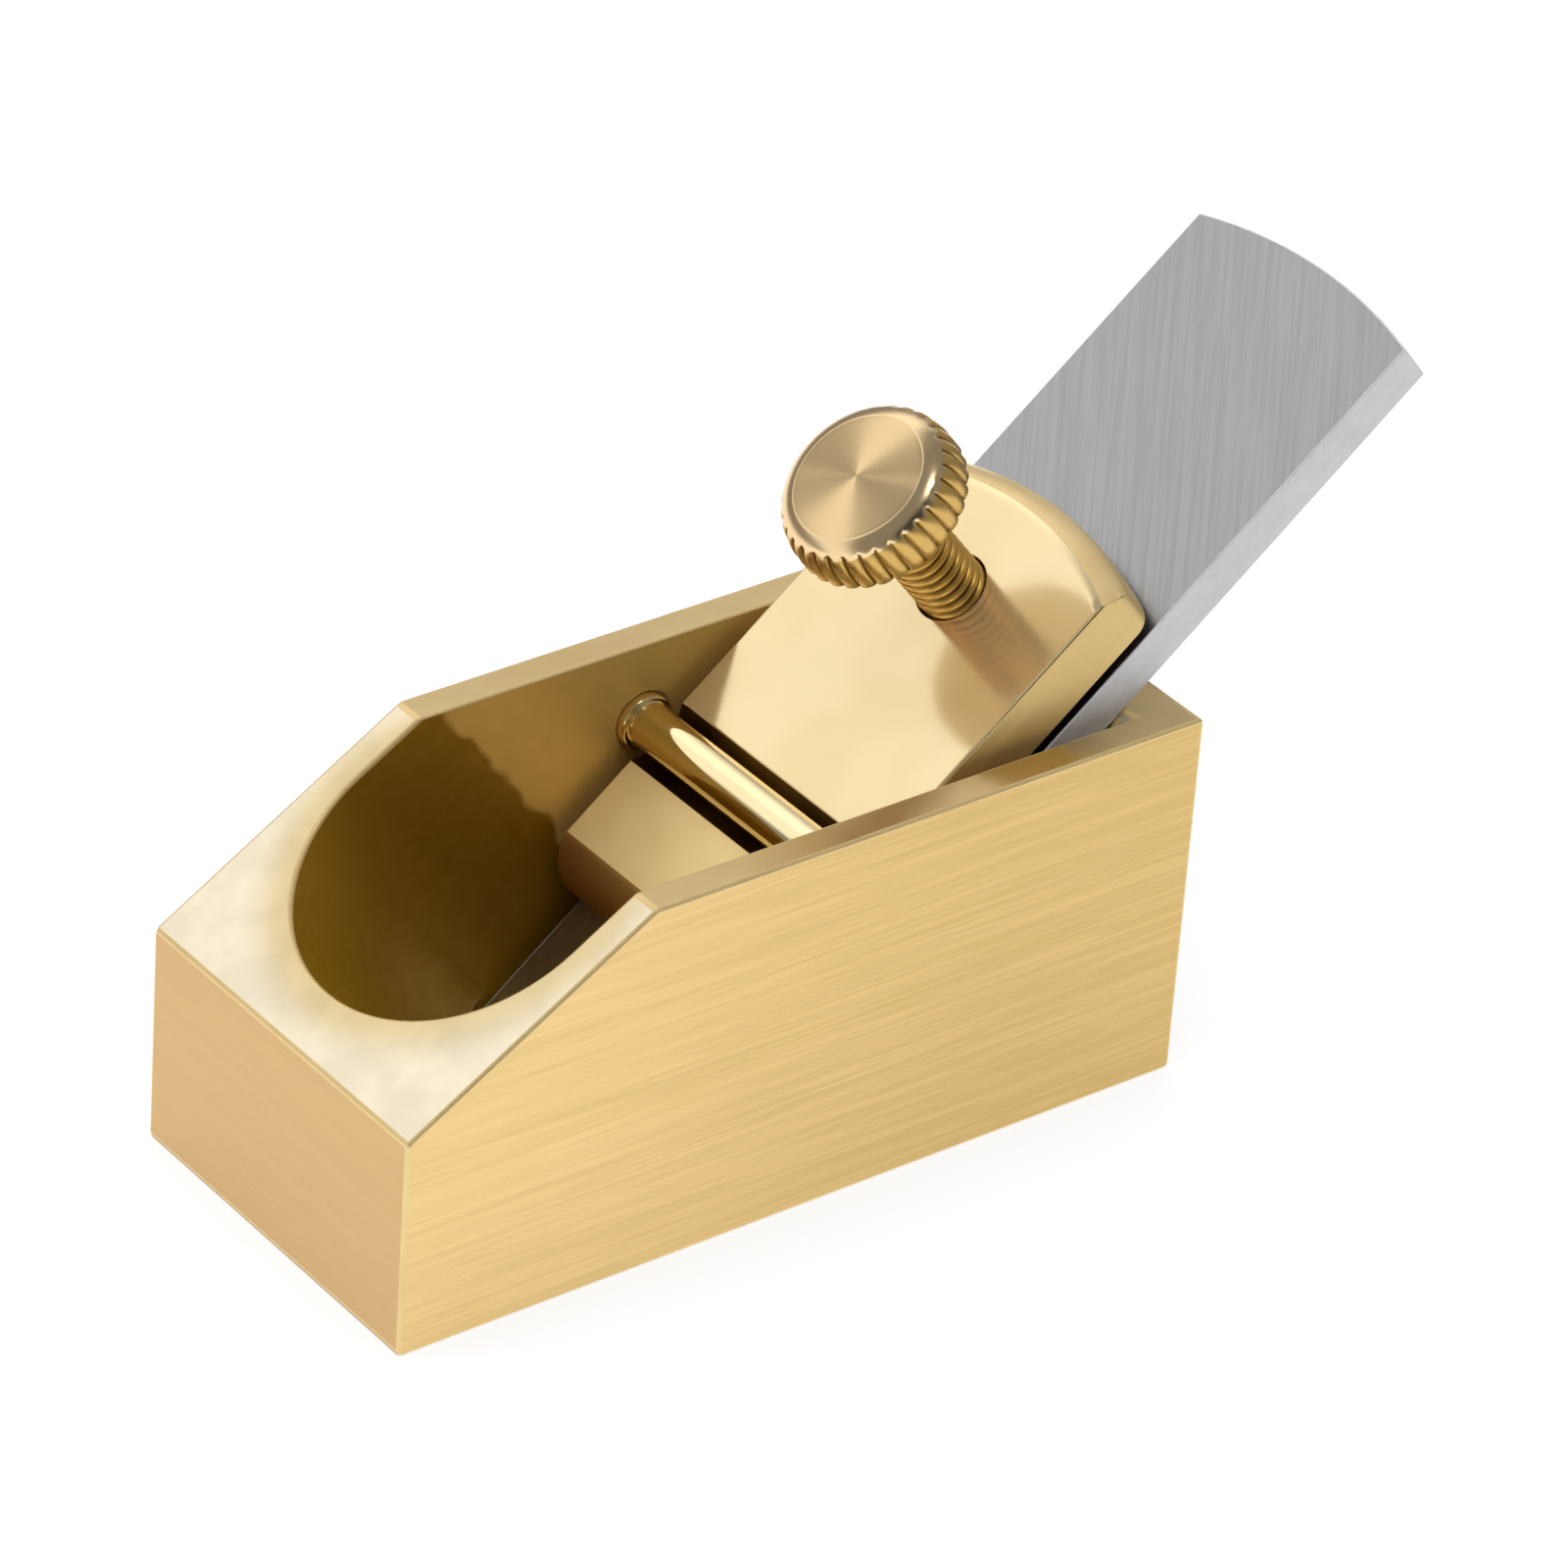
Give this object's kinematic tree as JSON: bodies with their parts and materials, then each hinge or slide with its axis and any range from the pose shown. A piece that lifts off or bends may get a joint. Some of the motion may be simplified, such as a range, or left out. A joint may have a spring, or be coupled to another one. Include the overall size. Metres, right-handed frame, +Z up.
{
  "type": "hand plane",
  "caption": "Small brass thumb plane: one-piece body with a round escapement, steel iron on a sloped bed, rocking lever cap under a cross pin, and a knurled thumb screw.",
  "frame": {"origin": "middle of the sole", "axes": "+X towards the toe, +Y across, +Z up from the sole"},
  "size_m": [0.0797, 0.0276, 0.0473],
  "materials": {
    "brushed_brass": "brushed along the length, slope polished",
    "polished_brass": "polished",
    "blade_steel": "ground",
    "satin_brass": "satin, hand polished",
    "turned_brass": "turned"
  },
  "bodies": {
    "plane_body": {"plane_body": "brushed_brass", "cross_pin": "polished_brass"},
    "blade": {"blade": "blade_steel"},
    "lever_cap": {"lever_cap": "satin_brass"},
    "thumb_screw": {"thumb_screw": "turned_brass"}
  },
  "joints": [
    {"name": "blade_slide", "type": "slide", "parent": "plane_body", "child": "blade", "axis": [0.7837, 0, -0.6211], "range_m": [-0.015, 0.0006]},
    {"name": "screw_turn", "type": "hinge", "parent": "plane_body", "child": "thumb_screw", "pos_m": [-0.01892, 0, 0.0333], "axis": [0.6211, 0, 0.7837], "range_deg": [0, 238]},
    {"name": "cap_rock", "type": "hinge", "parent": "plane_body", "child": "lever_cap", "pos_m": [-0.00515, 0, 0.02074], "axis": [0, -1, 0], "range_deg": [0, 1.65]}
  ],
  "couplings": [
    {"joint": "cap_rock", "follows": "screw_turn", "ratio": 0.0068454}
  ]
}
